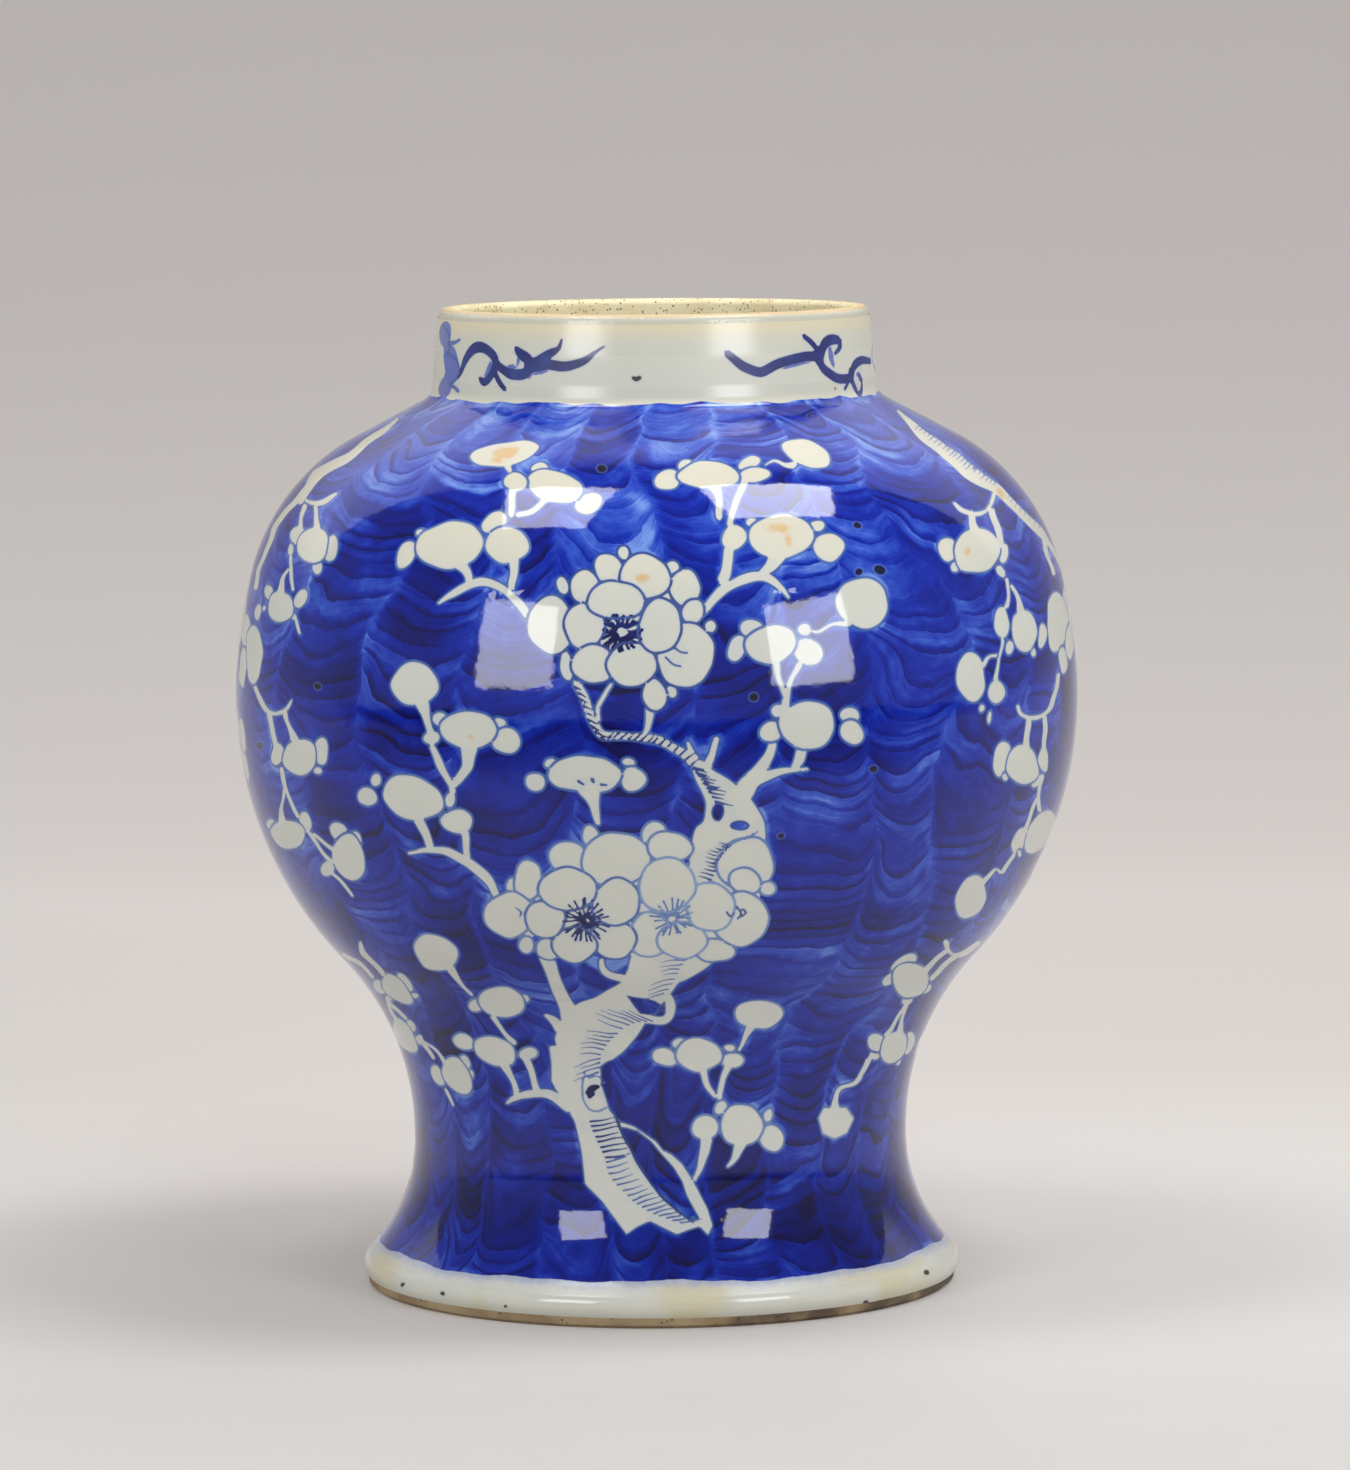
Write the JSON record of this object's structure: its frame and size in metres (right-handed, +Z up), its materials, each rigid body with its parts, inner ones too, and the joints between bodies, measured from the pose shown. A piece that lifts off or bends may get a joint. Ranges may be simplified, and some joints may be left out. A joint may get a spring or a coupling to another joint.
{
  "type": "baluster vase",
  "caption": "Glazed porcelain baluster vase with a short neck, broad shoulder, drawn-in waist and spreading foot, painted in underglaze blue with blossoming branches.",
  "frame": {"origin": "centre of the foot ring's resting face, on the vase's axis", "axes": "+Z up along the axis towards the mouth; -Y is the side that the picture shows"},
  "size_m": [0.2234, 0.2234, 0.26],
  "materials": {
    "bare_clay": "matt, unglazed porcelain, cream with brown specks",
    "slip": "matt, fired slip of the body's own clay",
    "painted_glaze": "glossy clear glaze over blue painting, with the blossoms left white",
    "plain_glaze": "glossy clear glaze, faintly grey-green white"
  },
  "bodies": {
    "root": {"neck": "bare_clay", "neck_luting_slip": "slip", "upper_body": "bare_clay", "belly_luting_slip": "slip", "lower_body": "bare_clay", "waist_luting_slip": "slip", "foot": "bare_clay", "outer_glaze": "painted_glaze", "inner_glaze": "plain_glaze", "base_glaze": "plain_glaze"}
  },
  "joints": []
}
